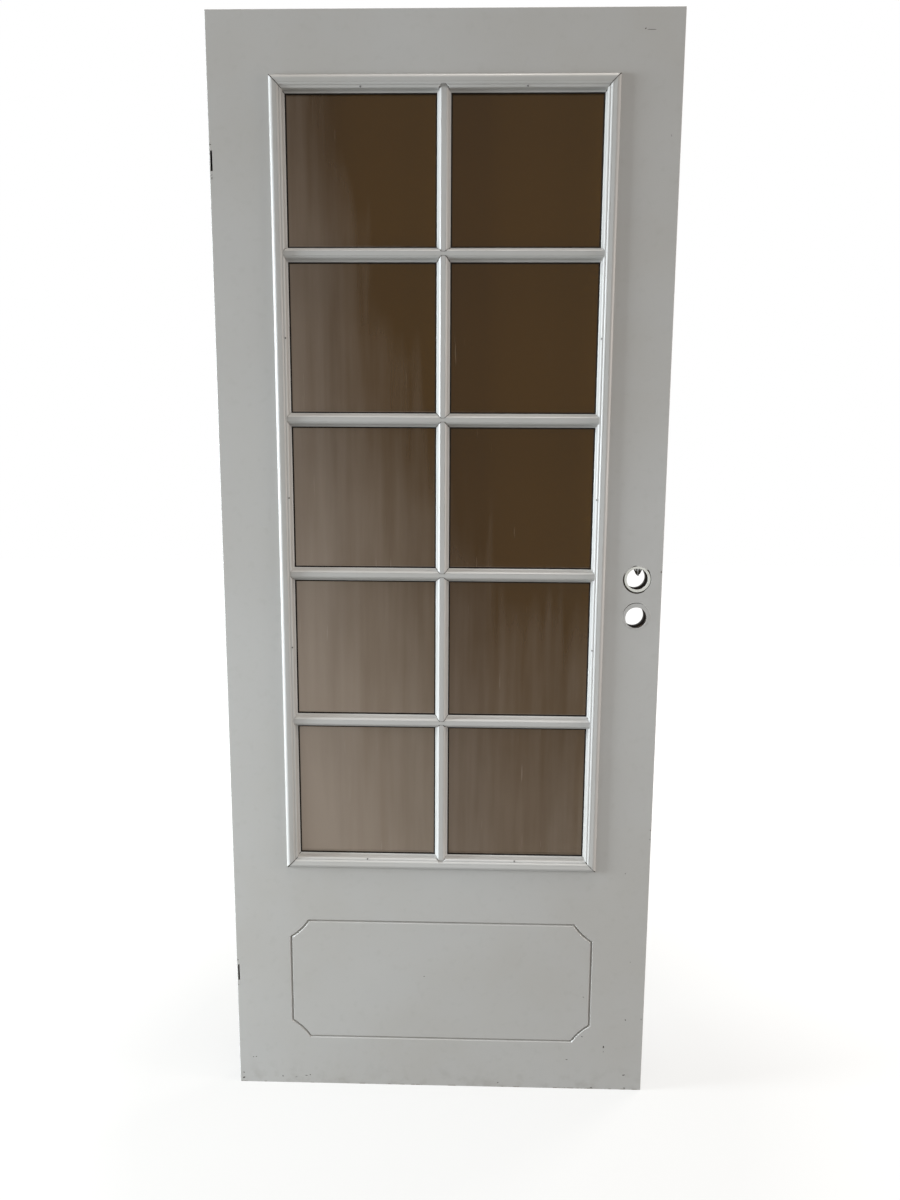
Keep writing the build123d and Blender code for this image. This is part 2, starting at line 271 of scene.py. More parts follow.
def band(tree, value, middle, half):
    """1 at a middle value, falling straight to 0 at half each side of it."""
    off = calc(tree, "ABSOLUTE", calc(tree, "SUBTRACT", value, middle))
    return ramp(tree, off, 0.0, half, 1.0, 0.0)


def inside(tree, value, low, high, edge=0.0003):
    """1 between two values and 0 outside them, with a steep edge."""
    over_low = ramp(tree, value, low - edge, low)
    under_high = ramp(tree, value, high, high + edge, 1.0, 0.0)
    return calc(tree, "MULTIPLY", over_low, under_high)


def away_from(tree, parts, x, z):
    """Distance from the line through (x, z) that runs straight through the leaf."""
    off_x = calc(tree, "SUBTRACT", parts[0], x)
    off_z = calc(tree, "SUBTRACT", parts[2], z)
    squares = calc(tree, "ADD", calc(tree, "MULTIPLY", off_x, off_x), calc(tree, "MULTIPLY", off_z, off_z))
    return calc(tree, "SQRT", squares)


def depth_under_face(tree, parts):
    """Distance under the nearer face, in from either side."""
    return calc(tree, "SUBTRACT", half_thickness, calc(tree, "ABSOLUTE", parts[1]))


# %% [markdown]
# ### The paint
#
# Paint on boards and paint on mouldings share one recipe. They differ in where dirt and painted shade sit, so
# the recipe takes a list of masks, each 0 where the paint is clean and 1 where it is darkest. They differ too
# in the direction of the brush, and a last mask marks hollows that are painted near black as shade.

# %% The paint recipe
paint_colour = (0.415, 0.410, 0.402)
paint_light = (0.436, 0.432, 0.424)
paint_warm = (0.402, 0.392, 0.376)
# Dirt, and painted shade in the grooves, the quirks and a bore.
dirt_and_shade_colour = (0.155, 0.130, 0.100)
# Near-black painted shade in the ring seats, the bores and the upper hinge slot.
painted_shade_colour = (0.014, 0.011, 0.009)


def paint_finish(name, masks=(), brush=(1.0, 1.0, 1.0), hollow=None):
    """Old satin paint: a slow drift of colour, paler low down partly as painted light, dirt and painted shade
    by masks, near-black painted shade by hollow, and a fine bump.
    """
    material, tree, shader, place, parts = new_finish(name, Roughness=0.42, Specular_IOR_Level=0.4)
    drift = noise(tree, place, 1.7, 4.0)
    colour = mix_colour(tree, ramp(tree, drift, 0.38, 0.62), paint_warm, paint_light)
    blotch = noise(tree, place, 14.0, 5.0)
    colour = mix_colour(tree, ramp(tree, blotch, 0.42, 0.70, 0.0, 0.55), colour, paint_colour)
    # Paler towards the foot: partly the paint, partly painted light, which was stronger low on the leaf.
    paler_and_lit_low = ramp(tree, parts[2], floor_height, leaf_high[2], 1.07, 0.93)
    colour = mix_colour(tree, 1.0, colour, paler_and_lit_low, "MULTIPLY")
    dirt_and_shade = ramp(tree, noise(tree, place, 60.0, 6.0, brush), 0.56, 0.80, 0.0, 0.08)
    # The masks add dirt and painted shade.
    for mask in masks:
        dirt_and_shade = calc(tree, "MAXIMUM", dirt_and_shade, mask(tree, place, parts))
    colour = mix_colour(tree, dirt_and_shade, colour, dirt_and_shade_colour)
    if hollow:
        colour = mix_colour(tree, hollow(tree, place, parts), colour, painted_shade_colour)
    tree.links.new(colour, shader.inputs["Base Color"])
    stipple = noise(tree, place, 260.0, 3.0, brush)
    bump = add_node(tree, "ShaderNodeBump", {"Height": stipple, "Strength": 0.12, "Distance": 0.0006})
    tree.links.new(bump.outputs[0], shader.inputs["Normal"])
    gloss = ramp(tree, noise(tree, place, 9.0, 3.0), 0.35, 0.65, 0.36, 0.50)
    tree.links.new(gloss, shader.inputs["Roughness"])
    return material


# %% [markdown]
# ### Dirt and painted shade on the boards
#
# On the boards the routed groove is painted darker as shade. The paint is dirtiest round the lock where hands
# have been, and in scuffs and worn arrises near the foot. The seats of the lock rings and the upper hinge
# slot are painted near black as shade.

# %% Masks for the boards
def groove_shade(tree, place, parts):
    """Painted shade that grows with the depth under the face: 0 on the face and 0.42 three millimetres in."""
    return ramp(tree, depth_under_face(tree, parts), 0.0012, 0.0030, 0.0, 0.42)


def lock_dirt(tree, place, parts):
    """A faint cloud within 90 mm of the lock, broken up by noise."""
    away = away_from(tree, parts, lock_x, (handle_level + key_level) / 2)
    cloud = ramp(tree, away, 0.03, 0.12, 0.07, 0.0)
    return calc(tree, "MULTIPLY", cloud, ramp(tree, noise(tree, place, 22.0, 4.0), 0.4, 0.65))


def foot_dirt(tree, place, parts):
    """Scuffs in the lowest 60 mm of the leaf, and a bottom edge with the paint knocked off in places."""
    low = ramp(tree, parts[2], floor_height, floor_height + 0.06, 0.22, 0.0)
    scuffs = calc(tree, "MULTIPLY", low, ramp(tree, noise(tree, place, 40.0, 5.0), 0.5, 0.7))
    arris = ramp(tree, parts[2], floor_height + 0.0012, floor_height + 0.0028, 1.0, 0.0)
    knocks = calc(tree, "MULTIPLY", arris, ramp(tree, noise(tree, place, 75.0, 5.0), 0.54, 0.60))
    return calc(tree, "MAXIMUM", scuffs, knocks)


def in_ring_seat(tree, place, parts):
    """1 within the seat of either lock ring and in the bore behind it."""
    nearest = calc(tree, "MINIMUM", away_from(tree, parts, lock_x, handle_level),
                   away_from(tree, parts, lock_x, key_level))
    return ramp(tree, nearest, ring_seat_radius + 0.0001, ring_seat_radius + 0.0003, 1.0, 0.0)


def in_slot(tree, parts, level):
    """1 in the hinge slot at a level, at any depth."""
    return calc(tree, "MULTIPLY", inside(tree, parts[0], slot_near, slot_far),
                inside(tree, parts[2], level - slot_half, level + slot_half))


def board_painted_shade(tree, place, parts):
    """Painted shade in the ring seats and the upper hinge slot, from 0.2 mm under the face."""
    below = ramp(tree, depth_under_face(tree, parts), 0.0002, 0.0004)
    shaded_places = calc(tree, "MAXIMUM", in_ring_seat(tree, place, parts), in_slot(tree, parts, hinge_levels[0]))
    return calc(tree, "MULTIPLY", below, shaded_places)


board_paint = paint_finish("board_paint", [groove_shade, lock_dirt, foot_dirt], hollow=board_painted_shade)
for name in ("front_skin", "back_skin"):
    nodes[name].data.materials[0] = board_paint


# %% [markdown]
# ### Dust and painted shade on the mouldings
#
# A quirk is the narrow sunk line between two rounds of a moulding. It is darkened by a little dust and by
# painted shade. Its distance from the moulding's edge is the same all along, so a mask can be worked out from
# the coordinates alone.

# %% Masks for the mouldings
bead_quirks = [0.01305, 0.01765]
bar_quirks = [0.00385]


def quirk_lines(tree, distance, quirks, amount):
    """The darkest of several thin lines at given distances."""
    lines = 0.0
    for quirk in quirks:
        lines = calc(tree, "MAXIMUM", lines, band(tree, distance, quirk, 0.0007))
    return calc(tree, "MULTIPLY", lines, amount)


def bead_dust_and_shade(tree, place, parts):
    """Dust and painted shade: lines at each quirk of the beads, by the distance in from the nearest side of
    the opening.
    """
    sides = [
        calc(tree, "SUBTRACT", parts[0], opening_low[0]), calc(tree, "SUBTRACT", opening_high[0], parts[0]),
        calc(tree, "SUBTRACT", parts[2], opening_low[2]), calc(tree, "SUBTRACT", opening_high[2], parts[2]),
    ]
    inward = calc(tree, "MINIMUM", calc(tree, "MINIMUM", sides[0], sides[1]),
                  calc(tree, "MINIMUM", sides[2], sides[3]))
    return quirk_lines(tree, inward, bead_quirks, 0.10)


def bar_dust_and_shade(tree, place, parts):
    """Dust and painted shade: lines at each quirk of the bars, by the distance from the middle of the nearest
    bar.
    """
    nearest = 1.0
    for level in bar_levels:
        off = calc(tree, "ABSOLUTE", calc(tree, "SUBTRACT", parts[2], level))
        nearest = calc(tree, "MINIMUM", nearest, off)
    return quirk_lines(tree, nearest, bar_quirks, 0.10)


def mullion_dust_and_shade(tree, place, parts):
    """Dust and painted shade: lines at each quirk of the upright bar."""
    off = calc(tree, "ABSOLUTE", calc(tree, "SUBTRACT", parts[0], mullion_middle))
    return quirk_lines(tree, off, bar_quirks, 0.10)


along_x = (0.08, 1.0, 1.0)
along_z = (1.0, 1.0, 0.08)
upright_bead_paint = paint_finish("upright_bead_paint", [bead_dust_and_shade], along_z)
level_bead_paint = paint_finish("level_bead_paint", [bead_dust_and_shade], along_x)
bar_paint = paint_finish("bar_paint", [bar_dust_and_shade], along_x)
mullion_paint = paint_finish("mullion_paint", [mullion_dust_and_shade], along_z)
for face in ("front", "back"):
    for side in ("left", "right"):
        nodes[f"{face}_bead_{side}"].data.materials[0] = upright_bead_paint
    for side in ("top", "bottom"):
        nodes[f"{face}_bead_{side}"].data.materials[0] = level_bead_paint
    for number in range(1, len(bar_levels) + 1):
        nodes[f"{face}_bar_{number}"].data.materials[0] = bar_paint
    nodes[f"{face}_mullion"].data.materials[0] = mullion_paint


# %% [markdown]
# ### Wood
#
# The frame timbers show as the painted edges of the leaf, and as bare pine wherever a cutter went in: the
# lock pocket, the bores and the upper hinge slot, of which the last two are painted near black as shade. One
# material can do all of it, because paint is only where a point lies on the outside of the leaf, or in the
# lower hinge slot, which was painted with the door. The edges' paint is a little darker than the faces', as
# painted shade against the lamp that grazes them.

# %% Pine, bare and painted
def pine_finish(name, painted):
    """Pine with growth rings drawn out along the grain. If painted, paint covers the leaf's edges."""
    material, tree, shader, place, parts = new_finish(name, Roughness=0.75, Specular_IOR_Level=0.3)
    rings = noise(tree, place, 90.0, 4.0, (1.0, 1.0, 0.03))
    fibres = noise(tree, place, 900.0, 2.0, (1.0, 1.0, 0.02))
    colour = mix_colour(tree, ramp(tree, rings, 0.35, 0.65), (0.36, 0.235, 0.125), (0.52, 0.37, 0.21))
    colour = mix_colour(tree, ramp(tree, fibres, 0.3, 0.7, 0.0, 0.3), colour, (0.30, 0.19, 0.10))
    if painted:
        side = calc(tree, "MINIMUM", parts[0], calc(tree, "SUBTRACT", leaf_width, parts[0]))
        end = calc(tree, "SUBTRACT", leaf_high[2], calc(tree, "ABSOLUTE", parts[2]))
        outside = ramp(tree, calc(tree, "MINIMUM", side, end), 0.0002, 0.0005, 1.0, 0.0)
        wear_and_shade = ramp(tree, noise(tree, place, 30.0, 6.0), 0.66, 0.69)
        covered = calc(tree, "MULTIPLY", outside, calc(tree, "SUBTRACT", 1.0, wear_and_shade))
        covered = calc(tree, "MAXIMUM", covered, in_slot(tree, parts, hinge_levels[1]))
        # The edges' paint is a darker grey than the faces': painted shade against the grazing lamp.
        drift = mix_colour(tree, noise(tree, place, 6.0), (0.300, 0.286, 0.264), (0.335, 0.325, 0.308))
        colour = mix_colour(tree, covered, colour, drift)
        tree.links.new(ramp(tree, covered, 0.0, 1.0, 0.75, 0.42), shader.inputs["Roughness"])
    # Painted shade: the ring seats, the bores and the upper hinge slot are near black.
    shaded_places = calc(tree, "MAXIMUM", in_ring_seat(tree, place, parts), in_slot(tree, parts, hinge_levels[0]))
    colour = mix_colour(tree, shaded_places, colour, painted_shade_colour)
    tree.links.new(colour, shader.inputs["Base Color"])
    bump = add_node(tree, "ShaderNodeBump", {"Height": fibres, "Strength": 0.2, "Distance": 0.0004})
    tree.links.new(bump.outputs[0], shader.inputs["Normal"])
    return material


edge_pine = pine_finish("edge_pine", True)
bare_pine = pine_finish("bare_pine", False)
for name in ("hinge_stile", "lock_stile", "top_rail", "bottom_rail"):
    nodes[name].data.materials[0] = edge_pine
for name in ("lock_block", "lining_left", "lining_right", "lining_head", "lining_sill"):
    nodes[name].data.materials[0] = bare_pine

# %% [markdown]
# ### Tape
#
# The glazing tape is a dull black that has gone a little brown. Pressing the glass home squeezed a thin lip
# of it out along every pane's edge, and the lip is made wider than that as painted shade of the gap between
# bead and glass. Each lip is a closed band that starts inside the glass and stands a little way out of it.

# %% The tape's finish
tape_finish, tree, shader, place, _ = new_finish("tape_finish", Roughness=0.85, Specular_IOR_Level=0.2)
dust_and_painted_light = ramp(tree, noise(tree, place, 120.0, 4.0), 0.45, 0.75, 0.0, 0.3)
tape_colour = mix_colour(tree, dust_and_painted_light, (0.012, 0.009, 0.007), (0.045, 0.036, 0.028))
tree.links.new(tape_colour, shader.inputs["Base Color"])
for face in ("front", "back"):
    nodes[f"{face}_glazing_tape"].data.materials[0] = tape_finish

# %% The lip round every pane
lip_width = 0.0026
lip_foot = 0.0005
lip_rise = 0.0003


def tape_and_shade_lip(low_x, high_x, low_z, high_z):
    """The tape pressed out along one pane's edge, widened by painted shade of the gap: a closed band on the
    front of the glass.

    Row i is a corner of the pane. Column j is an edge of the band: outer back, outer front,
    inner front, inner back.
    """
    inset = np.array([0.0, 0.0, lip_width, lip_width])
    lift = np.array([lip_foot, -lip_rise, -lip_rise, lip_foot])
    corner_x, to_x = np.array([low_x, high_x, high_x, low_x]), np.array([1, -1, -1, 1])
    corner_z, to_z = np.array([low_z, low_z, high_z, high_z]), np.array([1, 1, -1, -1])
    x = corner_x[:, None] + to_x[:, None] * inset
    z = corner_z[:, None] + to_z[:, None] * inset
    return np.stack([x, np.broadcast_to(glass_low[1] + lift, x.shape), z], axis=-1)


pane_feet = [opening_low[2] + bead_width] + [level + bar_half for level in sorted(bar_levels)]
pane_heads = [level - bar_half for level in sorted(bar_levels)] + [opening_high[2] - bead_width]
pane_sides = [(opening_low[0] + bead_width, mullion_middle - bar_half),
              (mullion_middle + bar_half, opening_high[0] - bead_width)]
lips = [tape_and_shade_lip(low_x, high_x, foot, head) for foot, head in zip(pane_feet, pane_heads)
        for low_x, high_x in pane_sides]
lips += [on_back(lip) for lip in lips]
# Each lip is tape, widened by painted shade of the gap.
make_piece("tape_and_shade_lips", [(lip, True, True, False) for lip in lips], tape_finish, smooth=False)

# %% [markdown]
# ### Rings
#
# The rings are off-white plastic: the one at the handle is clean, and the one at the key has
# been painted with the door.

# %% The rings' finishes
ring_finish, tree, shader, place, _ = new_finish("ring_finish", Roughness=0.35, Specular_IOR_Level=0.5)
wear = ramp(tree, noise(tree, place, 160.0, 5.0), 0.5, 0.75, 0.0, 0.5)
ring_colour = mix_colour(tree, wear, (0.66, 0.66, 0.62), (0.42, 0.40, 0.35))
tree.links.new(ring_colour, shader.inputs["Base Color"])
rubbed = noise(tree, place, 700.0)
rub = add_node(tree, "ShaderNodeBump", {"Height": rubbed, "Strength": 0.15, "Distance": 0.0003})
tree.links.new(rub.outputs[0], shader.inputs["Normal"])


def bore_shade(tree, place, parts):
    """Painted shade inside the bore of the painted ring."""
    away = away_from(tree, parts, lock_x, key_bore_level)
    below = ramp(tree, depth_under_face(tree, parts), 0.0008, 0.0016)
    within = ramp(tree, away, bore_radius + 0.0001, bore_radius + 0.0003, 1.0, 0.0)
    return calc(tree, "MULTIPLY", below, within)


painted_ring = paint_finish("painted_ring", [bore_shade])
for face in ("front", "back"):
    nodes[f"{face}_handle_ring"].data.materials[0] = ring_finish
    nodes[f"{face}_key_ring"].data.materials[0] = painted_ring

# %% [markdown]
# ## The glass
#
# The panes are one sheet of bronze glass behind the lattice. A CAD block would give a perfect mirror, but the
# real sheet is slightly uneven, with faint upright draw lines. So both faces are height fields: sums of long
# upright waves a few hundredths of a millimetre high. They are kept within the CAD sheet and fade out towards
# its rim. The glass is so deep a bronze that little shows through it. Its film is greyer towards the foot.
# Towards the hinge side it is greyer as a painted reflection, and lighter still at the hinge side of each
# hinge-side pane as painted light against the bead's shadow. Over that lie upright streaks, a few scratches
# and a pale line of painted reflection along each pane's bottom edge. Each of these is a share of the film,
# and they add up.

# %% The bronze finish
glass_finish, tree, shader, place, parts = new_finish(
    "glass_finish", Transmission_Weight=0.40, IOR=1.45, Specular_IOR_Level=0.05
)
downward = ramp(tree, parts[2], glass_high[2], glass_low[2], -0.12, 0.84)
# Painted reflection: more film towards the hinge side.
sideways_painted_light = calc(tree, "ADD", ramp(tree, parts[0], glass_low[0], mullion_middle, 0.21, -0.29),
                ramp(tree, parts[0], mullion_middle, (mullion_middle + glass_high[0]) / 2, 0.0, -0.20))
# Painted light at the hinge side of the hinge-side panes, against the bead's shadow on the glass.
sideways_painted_light = calc(tree, "ADD", sideways_painted_light,
                ramp(tree, parts[0], glass_low[0], (glass_low[0] + mullion_middle) / 2, 0.22, 0.0))
streaks = noise(tree, place, 45.0, 4.0, (1.0, 1.0, 0.06))
smears = noise(tree, place, 9.0, 4.0, (1.0, 1.0, 0.45))
dust_and_painted_light = calc(tree, "ADD", calc(tree, "ADD", downward, sideways_painted_light), ramp(tree, streaks, 0.3, 0.7, -0.07, 0.07))
dust_and_painted_light = calc(tree, "ADD", dust_and_painted_light, ramp(tree, smears, 0.3, 0.7, -0.05, 0.05))
scratch_grain = noise(tree, place, 170.0, 2.0, (1.0, 1.0, 0.045))
scratch_patch = ramp(tree, noise(tree, place, 6.0, 2.0), 0.52, 0.62)
scratches = calc(tree, "MULTIPLY", ramp(tree, scratch_grain, 0.69, 0.73, 0.0, 0.35), scratch_patch)
# Painted reflection: a pale line along each pane's bottom edge, just above the tape.
foot_reflection_line = 0.0
for level in [opening_low[2] + bead_width - bar_half] + bar_levels:
    above_tape = calc(tree, "SUBTRACT", parts[2], level + bar_half + lip_width)
    foot_reflection_line = calc(tree, "MAXIMUM", foot_reflection_line, inside(tree, above_tape, 0.0, 0.0012, 0.0006))
dust_and_painted_light = calc(tree, "ADD", dust_and_painted_light, calc(tree, "ADD", scratches, calc(tree, "MULTIPLY", foot_reflection_line, 0.20)))
bronze = (0.078, 0.036, 0.003)
film_and_light_colour = (0.370, 0.307, 0.251)
tree.links.new(mix_colour(tree, dust_and_painted_light, bronze, film_and_light_colour), shader.inputs["Base Color"])
tree.links.new(ramp(tree, smears, 0.3, 0.7, 0.04, 0.10), shader.inputs["Roughness"])


# %% The glass sheet
def glass_waves(x, z):
    """Height of the glass over its mean plane: the sum of five waves that lean a little.

    Each wave is a x sin(2 pi (x / w + s z) + p): amplitude a, width w across the sheet, slant s
    and phase p.
    """
    waves = [(5e-5, 0.210, 0.10, 0.3), (3e-5, 0.093, -0.16, 1.9), (2e-5, 0.047, 0.21, 4.0),
             (1.2e-5, 0.021, -0.05, 2.2), (3e-5, 0.400, 0.55, 5.1)]
    return sum(a * np.sin(2 * np.pi * (x / w + s * z) + p) for a, w, s, p in waves)


glass_columns, glass_rows = 110, 200
rim_fade = 0.02
wave_room = 1.6e-4
back_shift = 0.07
across = np.linspace(glass_low[0], glass_high[0], glass_columns)
upwards = np.linspace(glass_low[2], glass_high[2], glass_rows)
grid_x, grid_z = np.meshgrid(across, upwards)
fade = np.minimum(1.0, np.minimum(grid_x - glass_low[0], glass_high[0] - grid_x) / rim_fade)
fade = fade * np.minimum(1.0, np.minimum(grid_z - glass_low[2], glass_high[2] - grid_z) / rim_fade)
front_relief = (glass_waves(grid_x, grid_z) - wave_room) * fade
back_relief = (glass_waves(grid_x + back_shift, grid_z) - wave_room) * fade
front_glass = np.stack([grid_x, glass_low[1] - front_relief, grid_z], axis=-1)
back_glass = np.stack([grid_x, glass_high[1] + back_relief, grid_z], axis=-1)
rims = [
    np.stack([front_glass[0], back_glass[0]]), np.stack([front_glass[-1], back_glass[-1]]),
    np.stack([front_glass[:, 0], back_glass[:, 0]]), np.stack([front_glass[:, -1], back_glass[:, -1]]),
]
sheet = [(points, False, False, False) for points in [front_glass, back_glass] + rims]
make_piece("bronze_glass", sheet, glass_finish, replaced=("glass_sheet",))

# %% [markdown]
# ## The outline of the mouldings
#
# The nails and the joint lines lie on the mouldings, so their height is needed at every distance
# across them. Each outline is a few points joined by arcs: a round nose, a flat band, two small
# rounds and a hollow foot for the bead, and for a bar a flat, a round and a hollow foot.


# %% Outlines as functions
def arc_points(first, middle, last, count=9):
    """Points on the circle through three points, evenly spaced in angle from the first to the last."""
    (ax, ay), (bx, by), (cx, cy) = first, middle, last
    d = 2 * (ax * (by - cy) + bx * (cy - ay) + cx * (ay - by))
    ux = ((ax**2 + ay**2) * (by - cy) + (bx**2 + by**2) * (cy - ay) + (cx**2 + cy**2) * (ay - by)) / d
    uy = ((ax**2 + ay**2) * (cx - bx) + (bx**2 + by**2) * (ax - cx) + (cx**2 + cy**2) * (bx - ax)) / d
    radius = math.hypot(ax - ux, ay - uy)
    start, through, end = (math.atan2(y - uy, x - ux) for x, y in (first, middle, last))
    turn = (end - start) % (2 * math.pi)
    if (through - start) % (2 * math.pi) > turn:
        turn -= 2 * math.pi
    angles = start + np.linspace(0, turn, count)
    return np.stack([ux + radius * np.cos(angles), uy + radius * np.sin(angles)], axis=-1)


bead_line = np.concatenate([
    arc_points((0, 1.0), (2.763, 4.767), (7.2, 6.2)), [(12.7, 5.7), (13.05, 5.35)],
    arc_points((13.4, 5.7), (15.7, 4.95), (17.3, 2.8)), [(17.65, 2.45)],
    arc_points((18.0, 2.8), (20.3, 2.05), (21.9, -0.1)),
    arc_points((21.95, -11.2), (22.5, -13.95), (24.2, -16.2)),
]) * millimetre
bar_line = np.concatenate([
    [(0.0, -0.5), (3.5, -0.5), (3.85, -0.85)],
    arc_points((4.2, -0.5), (7.1, -3.2), (8.4, -7.5)),
    arc_points((8.4, -7.5), (9.39, -12.25), (12.2, -16.2))[1:],
]) * millimetre


def bead_height(inward):
    """Height of a bead's surface over the face, by the distance in from its outer edge."""
    return np.interp(inward, bead_line[:, 0], bead_line[:, 1])


def bar_height(off):
    """Height of a bar's surface over the face, by the distance from its middle."""
    return np.interp(np.abs(off), bar_line[:, 0], bar_line[:, 1])


print("bead rises to", round(float(bead_line[:, 1].max()), 5), "over the face")

# %% [markdown]
# ### Joint lines
#
# Where two painted pieces of moulding meet, the paint has cracked into a fine dark line. Each
# line follows the moulding up and down, so it is a low ridge carried along that path. Where the
# mouldings fall away inwards the joint is a valley, and the ridge stands higher to fill it. The
# joint at the lower hinge-side corner has opened a little, so its line widens towards the outer
# corner. No line stands higher than the mouldings' own crests.

# %% The crack finish
# This finish also serves as the painted shade round the handle ring's seat.
crack_and_shade_finish, tree, shader, place, _ = new_finish("crack_and_shade_finish", Roughness=0.9, Specular_IOR_Level=0.1)
filled = ramp(tree, noise(tree, place, 300.0, 3.0), 0.4, 0.6)
crack_and_shade_colour = mix_colour(tree, filled, (0.014, 0.012, 0.010), (0.060, 0.052, 0.043))
tree.links.new(crack_and_shade_colour, shader.inputs["Base Color"])


# %% Lines over the mitres and crossings
joint_lift = 6e-5
joint_foot = 2.5e-4
steepest = 2.5


def face_line(x, z, height):
    """Points (x, -half thickness - height, z) on the front face."""
    return np.stack([x, -half_thickness - height, z], axis=-1)


def joint_line(x, z, to_x, to_z, outline, half_width):
    """The joint of two mouldings with one outline: from (x, z) at 45 degrees, at the outline's height.

    It stands over the outline by joint_lift plus half the half width times how steeply that falls.
    """
    off, height = outline.T
    line = face_line(x + to_x * off, z + to_z * off, height)
    fall = np.clip(-np.gradient(height, off), 0.0, steepest)
    across_line = np.array([to_x, 0.0, -to_z]) / math.sqrt(2)
    return ridge(line, across_line, half_width, joint_lift + 0.5 * half_width * fall, joint_foot)


def butt_line(x, z, to_z, half_width):
    """The end of an upright's flat against the flat of the bar."""
    x_line = np.linspace(x - bar_line[1, 0], x + bar_line[1, 0], 5)
    height = np.full(5, bar_line[1, 1])
    line = face_line(x_line, np.full(5, z + to_z * bar_line[1, 0]), height)
    return ridge(line, np.array([0.0, 0.0, 1.0]), half_width, joint_lift, joint_foot)


opened = np.interp(bead_line[:, 0], [0.0, bead_width], [1.1e-3, 7.0e-4])
lines = [
    joint_line(opening_low[0], opening_low[2], 1, 1, bead_line, opened),
    joint_line(opening_low[0], opening_high[2], 1, -1, bead_line, 7.5e-4),
    joint_line(opening_high[0], opening_low[2], -1, 1, bead_line, 6.0e-4),
    joint_line(opening_high[0], opening_high[2], -1, -1, bead_line, 7.5e-4),
]
for level in bar_levels:
    for to_z in (1, -1):
        lines.append(butt_line(mullion_middle, level, to_z, 4.0e-4))
        for to_x in (1, -1):
            half_width = 8.0e-4 if to_z > 0 else 9.0e-4
            lines.append(joint_line(mullion_middle, level, to_x, to_z, bar_line[1:], half_width))
lines = [np.maximum(line, [-np.inf, leaf_low[1], -np.inf]) for line in lines]
both_faces = lines + [on_back(line) for line in lines]
ridges = [(line, False, True, True) for line in both_faces]
make_piece("joint_lines", ridges, crack_and_shade_finish)

# %% [markdown]
# ### Nails
#
# The beads are held by thin nails, punched in through the inner round, so each shows as a dark
# hole with a raised rim of paint. It is a small bowl turned about the slope's own normal: a
# profile of (radius, height) carried round a circle. The point attribute "mark" is 0 in the
# dark hole and 1 on the paint.

# %% The nail dimples
nail_finish, tree, shader, _, _ = new_finish("nail_finish", Roughness=0.8, Specular_IOR_Level=0.2)
mark = add_node(tree, "ShaderNodeAttribute", attribute_name="mark").outputs["Fac"]
nail_colour = mix_colour(tree, mark, (0.022, 0.018, 0.014), paint_colour)
tree.links.new(nail_colour, shader.inputs["Base Color"])

nail_inset = 0.0203
slope_step = 0.0005
slope = (bead_height(nail_inset + slope_step) - bead_height(nail_inset - slope_step)) / (2 * slope_step)
nail_profile = np.array([
    (0.0, -0.02), (0.8, 0.0), (1.3, 0.05), (1.5, 0.14), (1.75, 0.18), (2.05, 0.10), (2.3, -0.35),
    (1.0, -0.6), (0.0, -0.6),
]) * millimetre
nail_mark = np.array([0.0, 0.0, 0.0, 0.25, 1.0, 1.0, 1.0, 1.0, 1.0])
nail_sides = 16


def nail(x, z, inward):
    """A dimple on the front beads at (x, z), on a slope that falls along the unit direction inward."""
    normal = np.array([-slope * inward[0], -1.0, -slope * inward[1]])
    normal = normal / np.linalg.norm(normal)
    first = np.cross(normal, [inward[1], 0.0, -inward[0]])
    first = first / np.linalg.norm(first)
    second = np.cross(normal, first)
    turn = np.linspace(0, 2 * np.pi, nail_sides, endpoint=False)[None, :, None]
    radius = nail_profile[:, 0][:, None, None]
    centre = np.array([x, -half_thickness - bead_height(nail_inset), z])
    lift = nail_profile[:, 1][:, None, None] * normal
    return centre + radius * (np.cos(turn) * first + np.sin(turn) * second) + lift


nail_levels = [0.473, 0.185, -0.099]
nail_offset = 0.145
opening_middle = (opening_low[0] + opening_high[0]) / 2
nails = []
for level in nail_levels:
    nails.append(nail(opening_low[0] + nail_inset, level, (1, 0)))
    nails.append(nail(opening_high[0] - nail_inset, level, (-1, 0)))
for off in (-nail_offset, nail_offset):
    nails.append(nail(opening_middle + off, opening_high[2] - nail_inset, (0, -1)))
    nails.append(nail(opening_middle + off, opening_low[2] + nail_inset, (0, 1)))
nails += [on_back(points) for points in nails]
marks = [np.repeat(nail_mark[:, None], nail_sides, axis=1)] * len(nails)
dimples = [(points, False, True, False) for points in nails]
make_piece("glazing_nails", dimples, nail_finish, values=marks)

# %% [markdown]
# ### Round the lock
#
# The handle's ring sits a little off the middle of its seat, and filler closes the gap above it. The key's
# ring was painted over with the door, and only a dark line is left along its upper side. Both are one closed
# band in the gap, whose inner edge is given by the width of gap left open at a few angles. Below and towards
# the hinge side a near-black band of painted shade fills the gap round the handle ring and comes up over the
# edge of its seat. Torn fibres of the board hang into the upper bore.

# %% Filler round the rings
filler_paint = paint_finish("filler_paint")
ring_sides = 96
ring_turn = np.linspace(0, 2 * np.pi, ring_sides, endpoint=False)


def by_angle(angles, values):
    """Values (mm) at angles (degrees, from +x towards +z), as metres at each angle of ring_turn."""
    return np.interp(np.degrees(ring_turn), angles, values, period=360) * millimetre


def round_ring(level, radius, depth):
    """Points round the middle of a ring at a level, each at its radius and depth under the front face."""
    x = lock_x + radius * np.cos(ring_turn)[:, None]
    z = level + radius * np.sin(ring_turn)[:, None]
    return np.stack([x, -half_thickness + depth, z], axis=-1)


